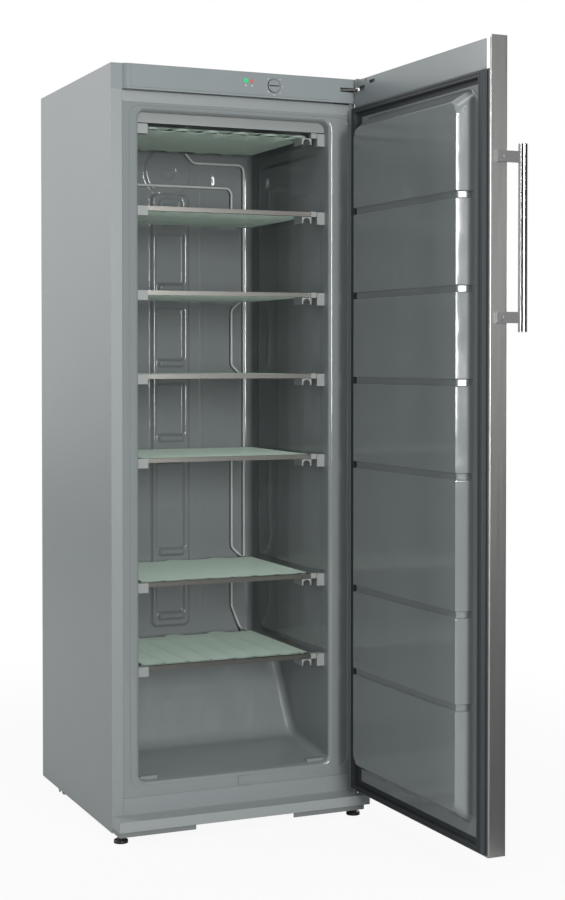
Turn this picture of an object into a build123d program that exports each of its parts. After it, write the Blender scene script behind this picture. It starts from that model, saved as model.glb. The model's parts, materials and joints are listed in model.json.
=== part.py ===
"""An upright freezer: a foamed steel cabinet with seven evaporator shelves and one tall door.

Millimetres. The origin is on the floor, under the middle of the cabinet's footprint:
+X points to the right as seen from the front, +Y to the back and +Z up. The cabinet's
front plane faces -Y. The door is modelled open, as the freezer stands at rest.
"""
from build123d import *
import math
import os

os.makedirs("parts", exist_ok=True)

# ---------------------------------------------------------------- driving dimensions
# Cabinet
cabinet_width = 600.0
cabinet_depth = 570.0
cabinet_top = 1730.0
side_bottom = 15.0
sheet = 1.0
seat_gap = 0.3
front_return = 26.0
hinge_side_return = 14.0
return_lip = 14.0
rear_hem = 12.0
back_inset = 22.0
bottom_height = 50.0

# Cold space
opening_width = 470.0
opening_bottom = 122.0
opening_top = 1629.0
inside_depth = 480.0
liner_wall = 2.0
liner_corner = 18.0
mouth_radius = 9.0
floor_depth = 205.0
floor_rise = 28.0
ledge_front_depth = 335.0
ledge_height = 358.0
liner_flange_bottom = 90.0
liner_flange_top = 1646.0
insulation = 60.0

# Relief on the inner back wall
column_x = 11.0
column_width = 100.0
column_bottom = 392.0
column_height = 9.0
column_top = 1470.0
window_rim = 6.0
window_depth = 6.0
dome_x = 5.0
dome_height = 1550.0
dome_radius = 62.0
dome_rise = 2.5

# Front crosspieces, fascia and its fittings
fascia_bottom = 1673.5
fascia_rise = 8.0
fascia_wall = 2.5
fascia_lap = 0.8
fascia_step_radius = 8.0
overlay_rise = 1.0
overlay_left = -256.0
overlay_right = 235.0
overlay_bottom = 1679.0
bay_depth = 40.0
rail_wall = 1.5
knob_x = 90.0
knob_z = 1702.0
knob_radius = 15.0
knob_rise = 2.0
knob_gap = 0.3
coin_slot = 2.6
lamp_z = 1709.0
green_lamp_x = 20.0
green_lamp_radius = 5.5
red_lamp_x = 35.0
red_lamp_radius = 4.0
lamp_rise = 1.0

# Shelves, from the bottom up
lowest_shelf = 372.0
shelf_pitch = 190.0
tall_step = 282.0
top_step = 184.0
shelf_count = 7
tube_front_depth = 50.0
tube_back_depth = 440.0
mat_front_depth = 68.0
mat_back_depth = 404.0
tube_radius = 3.0
tube_half_span = 202.0
tube_runs = 8
top_shelf_runs = 12
wire = 1.2
wire_pitch = 9.0
wire_seat = 0.2
mat_margin = 5.0
rail_height = 10.0
rail_depth = 12.0
rail_gauge = 0.8
rail_front_depth = 29.0
left_block_width = 30.0
right_block_width = 19.0
right_socket_width = 15.0
right_block_rise = 5.0
right_block_drop = 24.0
left_block_drop = 17.0
clip_x = 190.0
clip_half_width = 12.0
cover_strip_height = 23.0

# Pipes on the inner back wall
line_depth = 472.0
jumper_x = 178.0
return_x = 212.0
return_top = 1575.0
return_end_x = 52.0
return_end_rise = 22.0
elbow_growth = 0.4
crossover_height = 1514.0
pipe_bend = 17.0

# Door
door_bottom = 55.0
door_top = 1725.5
skin_top = 1731.0
door_thickness = 42.0
door_gap = 14.0
door_rest_angle = 91.0
pin_inset = 3.5
pin_setback = 3.5
pin_radius = 2.0
pin_clearance = 0.05
door_corner = 3.0
skin_return = 12.0
top_cap_height = 61.0
bottom_cap_height = 25.0
gasket_width = 42.0
gasket_end_width = 29.0
gasket_edge = 3.0
gasket_base = 3.0
gasket_front_gap = 0.4
gasket_bulb = 24.0
plug_edge = 61.0
plug_bottom = 108.0
plug_top = 1631.5
plug_rise = 38.0
plug_slope = 9.0
plug_end_slope = 29.0
plug_corner = 22.0
plug_wall = 1.8
groove_heights = (352.0, 545.0, 831.0, 1025.0, 1219.0, 1413.0)
groove_width = 16.0
groove_depth = 6.0

# Handle
handle_length = 384.0
handle_bottom = 1129.0
handle_radius = 10.0
handle_standoff = 34.5
bracket_thickness = 8.0
bracket_height = 23.0
bracket_inset = 13.5
bracket_heights = (1158.5, 1485.5)
handle_screw_radius = 3.5
handle_screw_inset = 31.0

# Hinges and base
hinge_plate = 5.0
hinge_plate_z = 1702.0
hinge_plate_width = 36.0
hinge_nose = 3.5
hinge_slot_length = 52.0
hinge_slot_gap = 2.5
hinge_slot_depth = 14.0
hinge_tab_height = 22.0
bracket_plate = 4.0
bracket_back = -190.0
bracket_front = -325.0
rail_width = 36.8
rail_bottom = 17.0
rail_sheet = 2.0
plinth_top = 52.0
plinth_bottom = 29.0
plinth_lip = 18.0
plinth_lip_length = 180.0
plinth_reach = 56.6
plinth_wall = 2.0
plinth_right_end = 14.0

# Feet and rollers
foot_x = 287.0
foot_y = -307.0
foot_radius = 16.0
foot_height = 7.0
foot_screw_radius = 4.0
thread_clearance = 0.1
roller_radius = 15.0
roller_width = 18.0
roller_y = 140.0
axle_radius = 3.0
axle_clearance = 0.08

# Cold machine at the back
shroud_front = -70.0
shroud_knee = 84.0
shroud_height = 298.0
compressor_x = 40.0
compressor_y = 165.0
can_length = 170.0
can_width = 124.0
can_height = 150.0
can_bottom = 49.0
base_height = 30.0
grommet_radius = 11.0
condenser_tube = 2.5
condenser_bottom = 445.0
condenser_pitch = 60.0
condenser_runs = 20
condenser_half = 215.0
condenser_y = 273.0
riser_x = -264.0
drier_radius = 9.0
drier_length = 80.0
gland_x = 200.0

# Drain
drain_x = 17.0
drain_z = 104.0
drain_width = 28.0
drain_height = 19.0
drain_rise = 2.0
drain_spigot = 5.0

# ---------------------------------------------------------------- worked-out places
half_width = cabinet_width / 2
front = -cabinet_depth / 2
back = cabinet_depth / 2
inner_side = half_width - sheet
back_plane = back - back_inset
inside_back = front + inside_depth
bay_back = front + bay_depth
shelf_levels = [lowest_shelf, lowest_shelf + shelf_pitch]
shelf_levels.append(shelf_levels[-1] + tall_step)
for _ in range(shelf_count - 4):
    shelf_levels.append(shelf_levels[-1] + shelf_pitch)
shelf_levels.append(shelf_levels[-1] + top_step)
tube_front = front + tube_front_depth
tube_back = front + tube_back_depth
mat_front = front + mat_front_depth
mat_back = front + mat_back_depth
mat_half = tube_half_span + mat_margin
line_y = front + line_depth
door_inner = front - door_gap
door_outer = door_inner - door_thickness
pivot_x = half_width - pin_inset
pivot_y = door_inner - pin_setback
rail_inner = half_width - sheet - 0.2 - rail_width
plinth_front = front - plinth_reach


def block(low, high, mode=Mode.ADD):
    """A block between two opposite corners, in the plane of the piece being built."""
    centre = tuple((a + b) / 2 for a, b in zip(low, high))
    with Locations(centre):
        Box(*[b - a for a, b in zip(low, high)], mode=mode)


def post(x, y, z_low, z_high, radius, mode=Mode.ADD):
    """An upright cylinder."""
    with Locations((x, y, (z_low + z_high) / 2)):
        Cylinder(radius, z_high - z_low, mode=mode)


def bar_along_x(x_low, x_high, y, z, radius, mode=Mode.ADD):
    """A cylinder lying from left to right."""
    with Locations(Location(((x_low + x_high) / 2, y, z), (0, 90, 0))):
        Cylinder(radius, x_high - x_low, mode=mode)


def bar_along_y(x, y_low, y_high, z, radius, mode=Mode.ADD):
    """A cylinder lying from front to back."""
    with Locations(Location((x, (y_low + y_high) / 2, z), (90, 0, 0))):
        Cylinder(radius, y_high - y_low, mode=mode)


def pipe(points, bend, radius):
    """A round pipe along straight runs joined by bends of one radius."""
    with BuildLine() as route:
        FilletPolyline(*points, radius=bend)
    with BuildSketch(Plane(origin=route.line @ 0, z_dir=route.line % 0)) as section:
        Circle(radius)
    sweep(section.sketch, path=route.line)


def finish(piece, name, place=Location()):
    """Put the piece in its place, label it and write it as one file."""
    placed = piece.part.moved(place)
    placed.label = name
    export_step(placed, f"parts/{name}.step")


# ---------------------------------------------------------------- outer cabinet
def return_width(side):
    """The front return is narrower on the hinge side."""
    return hinge_side_return if side > 0 else front_return


def side_panel(side):
    """A folded steel side: outer wall, front return with a lip, and a hem at the back."""
    outer = side * half_width
    inner = side * inner_side
    with BuildPart() as panel:
        block((min(outer, inner), front, side_bottom), (max(outer, inner), back, cabinet_top))
        edge = side * (half_width - return_width(side))
        low, high = sorted((edge, inner))
        block((low, front, bottom_height), (high, front + sheet, fascia_bottom))
        low, high = sorted((edge, edge + side * sheet))
        block((low, front, bottom_height), (high, front + return_lip, fascia_bottom))
        low, high = sorted((side * (half_width - rear_hem), inner))
        block((low, back - sheet, side_bottom), (high, back, cabinet_top - sheet - seat_gap))
    return panel


finish(side_panel(-1), "side_panel_left")
finish(side_panel(1), "side_panel_right")

with BuildPart() as top_panel:
    block((-inner_side, bay_back, cabinet_top - sheet), (inner_side, back, cabinet_top))
    block((-inner_side, bay_back, fascia_bottom + 20), (inner_side, bay_back + sheet, cabinet_top))
finish(top_panel, "top_panel")

with BuildPart() as back_panel:
    block((-inner_side, back_plane, shroud_height), (inner_side, back_plane + sheet,
                                                     cabinet_top - sheet))
    bead_step = (cabinet_top - shroud_height) / 8
    for bead in range(1, 8):
        bead_z = shroud_height + bead * bead_step
        block((-inner_side + 40, back_plane + sheet, bead_z - 4),
              (inner_side - 40, back_plane + 2 * sheet, bead_z + 4))
finish(back_panel, "back_panel")

shroud_points = [
    (front + sheet, bottom_height - sheet),
    (shroud_front, bottom_height - sheet),
    (shroud_knee, shroud_height - sheet),
    (back_plane + sheet, shroud_height - sheet),
]
with BuildPart() as bottom_panel:
    with BuildSketch(Plane.YZ) as shroud_profile:
        with BuildLine():
            lower = Polyline(*shroud_points)
            upper = Polyline(*[(y, z + sheet) for y, z in shroud_points])
            Line(lower @ 0, upper @ 0)
            Line(lower @ 1, upper @ 1)
        make_face()
    extrude(amount=inner_side, both=True)
finish(bottom_panel, "bottom_panel")

with BuildPart() as top_crossmember:
    block((-inner_side, front + return_lip + 2, fascia_bottom - 2.5),
          (inner_side, bay_back, fascia_bottom - 1.5))
    block((-inner_side, bay_back - sheet, fascia_bottom - 2.5),
          (inner_side, bay_back, cabinet_top - 3 * sheet))
    for screw_x in (-14.0, 14.0):
        centre_x = half_width - hinge_plate_width / 2 - 2 + screw_x * 0.6
        bar_along_y(centre_x, bay_back - 2, bay_back + 2, hinge_plate_z - 12, 2.1, Mode.SUBTRACT)
finish(top_crossmember, "top_crossmember")


def front_rail(z_low, z_high):
    """A crosspiece between the side panels' front returns, flush with the front plane."""
    left = -half_width + return_width(-1) + seat_gap
    right = half_width - return_width(1) - seat_gap
    with BuildPart() as rail:
        block((left, front, z_low), (right, front + rail_wall, z_high))
        block((left, front, z_high - rail_wall), (right, front + return_lip, z_high))
        block((left, front, z_low), (right, front + return_lip, z_low + rail_wall))
    return rail


finish(front_rail(liner_flange_top + seat_gap, fascia_bottom - 3), "upper_front_rail")
finish(front_rail(bottom_height, liner_flange_bottom - seat_gap), "lower_front_rail")


# ---------------------------------------------------------------- cold space
def cold_space(growth):
    """The cold space with its flared mouth, grown by a wall thickness on every side."""
    corners = [
        (front, opening_bottom),
        (front + floor_depth, opening_bottom + floor_rise),
        (front + ledge_front_depth, ledge_height),
        (inside_back, ledge_height),
        (inside_back, opening_top),
        (front, opening_top),
    ]
    half = opening_width / 2 + growth
    with BuildPart() as space:
        with BuildSketch(Plane.YZ) as outline:
            with BuildLine():
                Polyline(*corners, close=True)
            make_face()
            fillet(outline.vertices().filter_by(lambda v: v.Y > -1e9 and v.X > front + 1),
                   radius=liner_corner)
            offset(amount=growth, kind=Kind.INTERSECTION)
        extrude(amount=half, both=True)
        side_edges = [
            edge
            for edge in space.edges()
            if abs(abs(edge.center().X) - half) < 0.01 and edge.center().Y > front - growth + 0.01
        ]
        fillet(side_edges, radius=liner_corner + growth)
        block((-2 * half_width, front - 100, -100),
              (2 * half_width, front + growth, cabinet_top + 100))
        mouth = [
            edge
            for edge in space.edges()
            if abs(edge.center().Y - front - growth) < 0.01 and abs(edge.center().X) < half + 1
            and opening_bottom - growth - 1 < edge.center().Z < opening_top + growth + 1
        ]
        fillet(mouth, radius=mouth_radius - growth)
    return space


window_spans = []
for lower_level, upper_level in zip(shelf_levels[:-2], shelf_levels[1:-1]):
    window_spans.append((lower_level + 32, upper_level - 26))

cold_void = cold_space(0)
liner_outside = cold_space(liner_wall)
with BuildPart() as inner_liner:
    add(liner_outside.part)
    block((-half_width + return_width(-1) + seat_gap, front, liner_flange_bottom),
          (half_width - return_width(1) - seat_gap, inside_back + 50, liner_flange_top),
          Mode.INTERSECT)
    add(cold_void.part, mode=Mode.SUBTRACT)
    bar_along_y(drain_x, front - 1, front + 4, drain_z, drain_spigot + seat_gap, Mode.SUBTRACT)
    block((column_x - column_width / 2, inside_back - column_height, column_bottom),
          (column_x + column_width / 2, inside_back + 0.5, column_top))
    for low, high in window_spans:
        window_half = column_width / 2 - window_rim
        block((column_x - window_half, inside_back - column_height - 1, low),
              (column_x + window_half, inside_back - column_height + window_depth, high),
              Mode.SUBTRACT)
    bar_along_y(dome_x, inside_back - dome_rise, inside_back + 0.5, dome_height, dome_radius)
    bar_along_y(dome_x, inside_back - dome_rise - 1, inside_back - 0.5, dome_height,
                dome_radius - 8, Mode.SUBTRACT)
finish(inner_liner, "inner_liner")

with BuildPart() as cabinet_foam:
    foam_front = front + return_lip + 3
    bay_floor = fascia_bottom - 2.7
    with BuildSketch(Plane.YZ):
        with BuildLine():
            Polyline(
                (foam_front, bottom_height),
                (shroud_front, bottom_height),
                (shroud_knee, shroud_height),
                (back_plane, shroud_height),
                (back_plane, cabinet_top - sheet - seat_gap),
                (bay_back + 3, cabinet_top - sheet - seat_gap),
                (bay_back + 3, bay_floor),
                (foam_front, bay_floor),
                close=True,
            )
        make_face()
    extrude(amount=inner_side, both=True)
    add(liner_outside.part, mode=Mode.SUBTRACT)
finish(cabinet_foam, "cabinet_foam")

# ---------------------------------------------------------------- fascia and controls
plate_left = half_width - hinge_plate_width - 2
fascia_front = front - fascia_rise
control_front = fascia_front - overlay_rise
lamps = ((green_lamp_x, green_lamp_radius), (red_lamp_x, red_lamp_radius))
with BuildPart() as fascia:
    step_x = -half_width + front_return
    with BuildSketch(Plane.XY.offset(fascia_bottom)):
        with BuildLine():
            Polyline(
                (-half_width, front),
                (-half_width, front - fascia_lap),
                (step_x, front - fascia_lap),
                (step_x + 3, fascia_front + 3),
                (step_x + fascia_step_radius, fascia_front),
                (half_width, fascia_front),
                (half_width, front),
                (inner_side - seat_gap, front),
                (inner_side - seat_gap, bay_back - 2),
                (-inner_side + seat_gap, bay_back - 2),
                (-inner_side + seat_gap, front),
                close=True,
            )
        make_face()
    extrude(amount=cabinet_top - fascia_bottom)
    block((step_x + fascia_step_radius, fascia_front + fascia_wall, fascia_bottom - 1),
          (inner_side - fascia_wall, bay_back, cabinet_top - fascia_wall), Mode.SUBTRACT)
    block((-inner_side + fascia_wall, front + fascia_wall, fascia_bottom - 1),
          (step_x + fascia_step_radius + 1, bay_back, cabinet_top - fascia_wall), Mode.SUBTRACT)
    block((0, front, fascia_bottom - 1), (half_width + 1, bay_back, cabinet_top - fascia_wall),
          Mode.SUBTRACT)
    block((overlay_left, control_front, overlay_bottom),
          (overlay_right, fascia_front, cabinet_top - sheet))
    bar_along_y(knob_x, control_front - 1, fascia_front + fascia_wall + 1, knob_z,
                knob_radius + knob_gap, Mode.SUBTRACT)
    for lamp_x, lamp_radius in lamps:
        bar_along_y(lamp_x, control_front - 1, fascia_front + fascia_wall + 1, lamp_z,
                    lamp_radius, Mode.SUBTRACT)
    block((plate_left - hinge_slot_gap, fascia_front - 1, hinge_plate_z - hinge_slot_gap),
          (half_width + 1, front + fascia_wall, hinge_plate_z + hinge_plate + hinge_slot_gap),
          Mode.SUBTRACT)
finish(fascia, "fascia")

with BuildPart() as thermostat_body:
    block((knob_x - 18, fascia_front + fascia_wall + 6, knob_z - 18),
          (knob_x + 18, bay_back - sheet, knob_z + 18))
    for tag_x in (-8, 0, 8):
        block((knob_x + tag_x - 1.5, bay_back - sheet - 8, knob_z - 26),
              (knob_x + tag_x + 1.5, bay_back - sheet - 7, knob_z - 18))
finish(thermostat_body, "thermostat_body")

with BuildPart() as thermostat_knob:
    knob_front = control_front - knob_rise
    bar_along_y(knob_x, knob_front, fascia_front + fascia_wall + 2, knob_z, knob_radius)
    bar_along_y(knob_x, fascia_front + fascia_wall + 2, fascia_front + fascia_wall + 6 - seat_gap,
                knob_z, 4)
    bar_along_y(knob_x, knob_front - 1, knob_front + 0.8, knob_z, knob_radius - 2.2,
                Mode.SUBTRACT)
    block((knob_x - knob_radius + 2.2, knob_front - 1, knob_z - coin_slot / 2),
          (knob_x + knob_radius - 2.2, knob_front + 3, knob_z + coin_slot / 2), Mode.SUBTRACT)
finish(thermostat_knob, "thermostat_knob")


def lamp(x, radius):
    """A small indicator: a lens in the fascia's hole and a holder behind it."""
    with BuildPart() as piece:
        bar_along_y(x, control_front - lamp_rise, fascia_front + fascia_wall, lamp_z, radius)
        bar_along_y(x, fascia_front + fascia_wall, bay_back - sheet, lamp_z, radius + 1.5)
    return piece


finish(lamp(green_lamp_x, green_lamp_radius), "lamp_green")
finish(lamp(red_lamp_x, red_lamp_radius), "lamp_red")

# ---------------------------------------------------------------- evaporator shelves
def evaporator_shelf(level, runs, name):
    """A serpentine tube between two layers of cross wires, which two side bars join."""
    pitch = 2 * tube_half_span / (runs - 1)
    run_front = tube_front + pitch / 2 + tube_radius
    run_back = tube_back - pitch / 2 - tube_radius
    end_back = tube_back + 4
    with BuildPart() as shelf:
        with BuildLine(Plane.XY.offset(level)) as serpentine:
            Line((-tube_half_span, end_back), (-tube_half_span, run_front))
            for run in range(1, runs):
                old_x = (run - 1) * pitch - tube_half_span
                new_x = old_x + pitch
                middle_x = (old_x + new_x) / 2
                if run % 2:
                    ThreePointArc((old_x, run_front), (middle_x, run_front - pitch / 2),
                                  (new_x, run_front))
                    end_y = end_back if run == runs - 1 else run_back
                    Line((new_x, run_front), (new_x, end_y))
                else:
                    ThreePointArc((old_x, run_back), (middle_x, run_back + pitch / 2),
                                  (new_x, run_back))
                    Line((new_x, run_back), (new_x, run_front))
        with BuildSketch(Plane(origin=(-tube_half_span, end_back, level), z_dir=(0, -1, 0))):
            Circle(tube_radius)
        sweep(path=serpentine.line)
        layer = tube_radius + wire_seat
        wire_count = int((mat_back - mat_front) / wire_pitch) + 1
        for side in (-1, 1):
            low_z = level + (layer if side > 0 else -layer - wire)
            for index in range(wire_count):
                y = mat_front + index * wire_pitch
                block((-mat_half, y, low_z), (mat_half, y + wire, low_z + wire))
            edge_x = side * mat_half
            low_x, high_x = sorted((edge_x, edge_x - side * wire))
            block((low_x, mat_front, level - layer - wire),
                  (high_x, mat_front + (wire_count - 1) * wire_pitch + wire, level + layer + wire))
    finish(shelf, name)


for number, level in enumerate(reversed(shelf_levels), start=1):
    evaporator_shelf(level, top_shelf_runs if number == 1 else tube_runs,
                     f"evaporator_shelf_{number}")

rail_front = front + rail_front_depth
wall_x = opening_width / 2 - seat_gap
rail_left = -wall_x + left_block_width
block_left = wall_x - right_block_width
rail_right = block_left - right_socket_width
with BuildPart() as shelf_rails:
    for level in shelf_levels[:-1]:
        block((rail_left + 0.2, rail_front, level - rail_height / 2),
              (rail_right - 0.2, rail_front + rail_gauge, level + rail_height / 2))
        for side in (-1, 1):
            low_z, high_z = sorted((level + side * rail_height / 2,
                                    level + side * (rail_height / 2 - rail_gauge)))
            block((rail_left + 0.2, rail_front, low_z),
                  (rail_right - 0.2, rail_front + rail_depth, high_z))
finish(shelf_rails, "shelf_rails")

with BuildPart() as shelf_end_blocks:
    block_ceiling = opening_top - cover_strip_height - 2 * seat_gap
    block_back = rail_front + rail_depth + 6
    for level in shelf_levels:
        block_high = min(level + right_block_rise, block_ceiling)
        block((block_left, rail_front - 3, level - right_block_drop),
              (wall_x, block_back, block_high))
        block((rail_right, rail_front - 1.5, level - rail_height / 2 - 1),
              (block_left - 1, rail_front + rail_depth, level + rail_height / 2 + 1))
        block((block_left - 1.5, rail_front + 2, level - rail_height / 2),
              (block_left + 0.5, rail_front + rail_depth, level + rail_height / 2))
        block((-wall_x, rail_front - 3, level - left_block_drop),
              (rail_left, block_back, level + rail_height / 2))
finish(shelf_end_blocks, "shelf_end_blocks")

with BuildPart() as shelf_clips:
    clip_top = tube_radius + wire_seat + wire
    clip_back = mat_front + 8
    for level in shelf_levels:
        block((clip_x - clip_half_width, rail_front, level - clip_top - 17),
              (clip_x + clip_half_width, clip_back, level - clip_top))
        bar_along_y(clip_x, rail_front - 1, clip_back + 1, level - clip_top - 13, 9,
                    Mode.SUBTRACT)
        block((clip_x - 9, rail_front - 1, level - clip_top - 18),
              (clip_x + 9, clip_back + 1, level - clip_top - 13), Mode.SUBTRACT)
        block((clip_x - clip_half_width, rail_front - 1, level - rail_height / 2 - 1.5),
              (clip_x + clip_half_width, rail_front + rail_depth + 0.5, level), Mode.SUBTRACT)
finish(shelf_clips, "shelf_clips")

with BuildPart() as front_cover_strip:
    strip_top = opening_top - seat_gap
    block((-wall_x, rail_front, strip_top - cover_strip_height),
          (wall_x, rail_front + 1.5, strip_top))
    block((-wall_x, rail_front, strip_top - 1.5), (wall_x, rail_front + 12, strip_top))
    with BuildSketch(Plane.XZ.offset(-rail_front - 20)):
        with Locations((0, strip_top - 100)):
            RectangleRounded(2 * wall_x, 200, liner_corner)
    extrude(amount=40, mode=Mode.INTERSECT)
finish(front_cover_strip, "front_cover_strip")

# ---------------------------------------------------------------- refrigerant pipes inside
pipe_start = tube_back + 4.05
with BuildPart() as jumper_tubes:
    top_level = shelf_levels[-1]
    below_top = shelf_levels[-2]
    edge = tube_half_span
    pipe([(-edge, pipe_start, top_level), (-edge, line_y, top_level),
          (-edge, line_y, crossover_height), (jumper_x, line_y, crossover_height),
          (jumper_x, line_y, below_top + 24), (edge, line_y, below_top),
          (edge, pipe_start, below_top)], pipe_bend, tube_radius)
    for index in range(shelf_count - 2, 0, -1):
        upper_z = shelf_levels[index]
        lower_z = shelf_levels[index - 1]
        side = -1 if (shelf_count - 2 - index) % 2 == 0 else 1
        pipe([(side * edge, pipe_start, upper_z), (side * edge, line_y, upper_z),
              (side * jumper_x, line_y, upper_z - 24), (side * jumper_x, line_y, lower_z + 24),
              (side * edge, line_y, lower_z), (side * edge, pipe_start, lower_z)],
             pipe_bend, tube_radius)
finish(jumper_tubes, "jumper_tubes")

with BuildPart() as return_line:
    jog = shelf_levels[1]
    pipe([(edge, pipe_start, lowest_shelf), (edge, line_y, lowest_shelf),
          (jumper_x, line_y, lowest_shelf + 60), (jumper_x, line_y, jog - 60),
          (return_x, line_y, jog - 20), (return_x, line_y, return_top),
          (return_end_x + 20, line_y, return_top),
          (return_end_x, line_y, return_top + return_end_rise)],
         pipe_bend, tube_radius)
    with Locations((return_end_x, line_y, return_top + return_end_rise)):
        Sphere(tube_radius + elbow_growth)
    bar_along_y(return_end_x, line_y, inside_back - seat_gap, return_top + return_end_rise,
                tube_radius - elbow_growth)
finish(return_line, "return_line")

# ---------------------------------------------------------------- drain
with BuildPart() as drain_plug:
    block((drain_x - drain_width / 2, front - drain_rise - seat_gap, drain_z - drain_height / 2),
          (drain_x + drain_width / 2, front - seat_gap, drain_z + drain_height / 2))
    bar_along_y(drain_x, front - seat_gap, front + 12, drain_z, drain_spigot)
finish(drain_plug, "drain_plug")

# ---------------------------------------------------------------- base
bracket_top = bottom_height - sheet
bracket_low = bracket_top - bracket_plate


def base_rail(side):
    """A channel under the cabinet's side, open below, with ears for the rear roller."""
    inner = side * rail_inner
    outer = side * (rail_inner + rail_width)
    low, high = sorted((inner, outer))
    with BuildPart() as rail:
        block((low, bracket_back + seat_gap, rail_bottom), (high, back_plane, bracket_top))
        block((low + rail_sheet, bracket_back, rail_bottom - 1),
              (high - rail_sheet, back_plane + 1, bracket_top - rail_sheet), Mode.SUBTRACT)
        for ear_x in (low, high - rail_sheet):
            bar_along_x(ear_x, ear_x + rail_sheet, roller_y, roller_radius, 8)
            block((ear_x, roller_y - 8, roller_radius), (ear_x + rail_sheet, roller_y + 8, 30))
        bar_along_x(low - 1, high + 1, roller_y, roller_radius, axle_radius, Mode.SUBTRACT)
    return rail


finish(base_rail(-1), "base_rail_left")
finish(base_rail(1), "base_rail_right")


def corner_bracket(side, with_pin):
    """The steel plate at a front corner: a thread for the foot and, on one side, a hinge pin."""
    inner = side * rail_inner
    outer = side * (half_width - plinth_wall - seat_gap)
    low, high = sorted((inner, outer))
    with BuildPart() as bracket:
        block((low, bracket_front, bracket_low), (high, bracket_back, bracket_top))
        block((low, bracket_back - bracket_plate, rail_bottom + 4),
              (high, bracket_back, bracket_top))
        post(side * foot_x, foot_y, bracket_low - 8, bracket_low, foot_screw_radius + 4)
        post(side * foot_x, foot_y, bracket_low - 9, bracket_top + 1,
             foot_screw_radius + thread_clearance, Mode.SUBTRACT)
        if with_pin:
            post(pivot_x, pivot_y, bracket_top - 0.5, door_bottom + 17, pin_radius)
            post(pivot_x, pivot_y, bracket_top, door_bottom - 1, pin_radius + 1.5)
    return bracket


finish(corner_bracket(-1, False), "foot_bracket_left")
finish(corner_bracket(1, True), "bottom_hinge_bracket")

with BuildPart() as plinth:
    block((-half_width, plinth_front, plinth_bottom),
          (half_width + plinth_right_end, front - seat_gap, plinth_top))
    for side in (-1, 1):
        low, high = sorted((side * half_width, side * (half_width - plinth_lip_length)))
        block((low, plinth_front + 3, plinth_lip), (high, front - seat_gap, plinth_bottom))
    block((-half_width + plinth_wall, plinth_front + plinth_wall + 3, plinth_lip - 1),
          (half_width - plinth_wall, front, plinth_top - plinth_wall), Mode.SUBTRACT)
    block((half_width + 0.5, plinth_front + plinth_wall, plinth_bottom - 1),
          (half_width + plinth_right_end - plinth_wall, front, plinth_top - plinth_wall),
          Mode.SUBTRACT)
    block((pivot_x - 10, pivot_y - 13, bracket_top - 1.5),
          (half_width + 1, front - 5, plinth_top + 1), Mode.SUBTRACT)
finish(plinth, "plinth")


def front_foot(side):
    """A levelling foot: a round pad on a threaded stem."""
    with BuildPart() as foot:
        post(side * foot_x, foot_y, 0, foot_height, foot_radius)
        fillet(foot.edges().group_by(Axis.Z)[-1], radius=2)
        post(side * foot_x, foot_y, foot_height, foot_height + 5, 8)
        post(side * foot_x, foot_y, foot_height, bracket_top - 0.5, foot_screw_radius)
    return foot


finish(front_foot(-1), "front_foot_left")
finish(front_foot(1), "front_foot_right")


def roller(side):
    """A rear roller with a plain bore."""
    centre = side * (rail_inner + rail_width / 2)
    with BuildPart() as wheel:
        bar_along_x(centre - roller_width / 2, centre + roller_width / 2, roller_y,
                    roller_radius, roller_radius)
        fillet(wheel.edges(), radius=1.5)
        hub = rail_width / 2 - rail_sheet - seat_gap
        bar_along_x(centre - hub, centre + hub, roller_y, roller_radius, axle_radius + 2.5)
        bar_along_x(centre - hub - 1, centre + hub + 1, roller_y, roller_radius,
                    axle_radius + axle_clearance, Mode.SUBTRACT)
    return wheel


finish(roller(-1), "rear_roller_left")
finish(roller(1), "rear_roller_right")

with BuildPart() as roller_axles:
    for side in (-1, 1):
        low, high = sorted((side * rail_inner, side * (rail_inner + rail_width)))
        bar_along_x(low, high, roller_y, roller_radius, axle_radius)
finish(roller_axles, "roller_axles")

# ---------------------------------------------------------------- hinges
with BuildPart() as top_hinge_plate:
    plate_right = inner_side - 0.6
    nose_y = pivot_y
    with BuildSketch(Plane.XY.offset(hinge_plate_z)):
        with BuildLine():
            Polyline(
                (plate_left, bay_back - sheet),
                (plate_left, front - 3),
                (pivot_x - hinge_nose, nose_y),
                (pivot_x + hinge_nose, nose_y),
                (pivot_x + hinge_nose, front - 3),
                (plate_right, front),
                (plate_right, bay_back - sheet),
                close=True,
            )
        make_face()
        with Locations((pivot_x, nose_y)):
            Circle(hinge_nose)
    extrude(amount=hinge_plate)
    block((plate_left, bay_back - sheet - 4, hinge_plate_z - hinge_tab_height),
          (plate_right, bay_back - sheet, hinge_plate_z + hinge_plate))
    post(pivot_x, pivot_y, hinge_plate_z - 22, hinge_plate_z, pin_radius)
    for screw_x in (-14.0, 14.0):
        centre_x = half_width - hinge_plate_width / 2 - 2 + screw_x * 0.6
        bar_along_y(centre_x, bay_back - 8, bay_back + 2, hinge_plate_z - 12, 2.1, Mode.SUBTRACT)
finish(top_hinge_plate, "top_hinge_plate")

with BuildPart() as hinge_screws:
    for screw_x in (-14.0, 14.0):
        centre_x = half_width - hinge_plate_width / 2 - 2 + screw_x * 0.6
        head_y = bay_back - sheet - 4
        bar_along_y(centre_x, head_y - 3, head_y, hinge_plate_z - 12, 4)
        bar_along_y(centre_x, head_y, bay_back + 2, hinge_plate_z - 12, 2)
finish(hinge_screws, "hinge_screws")

# ---------------------------------------------------------------- door, drawn closed
swing = Pos(pivot_x, pivot_y, 0) * Rot(0, 0, door_rest_angle) * Pos(-pivot_x, -pivot_y, 0)
slot_low = hinge_plate_z - hinge_slot_gap
slot_high = hinge_plate_z + hinge_plate + hinge_slot_gap


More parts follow.
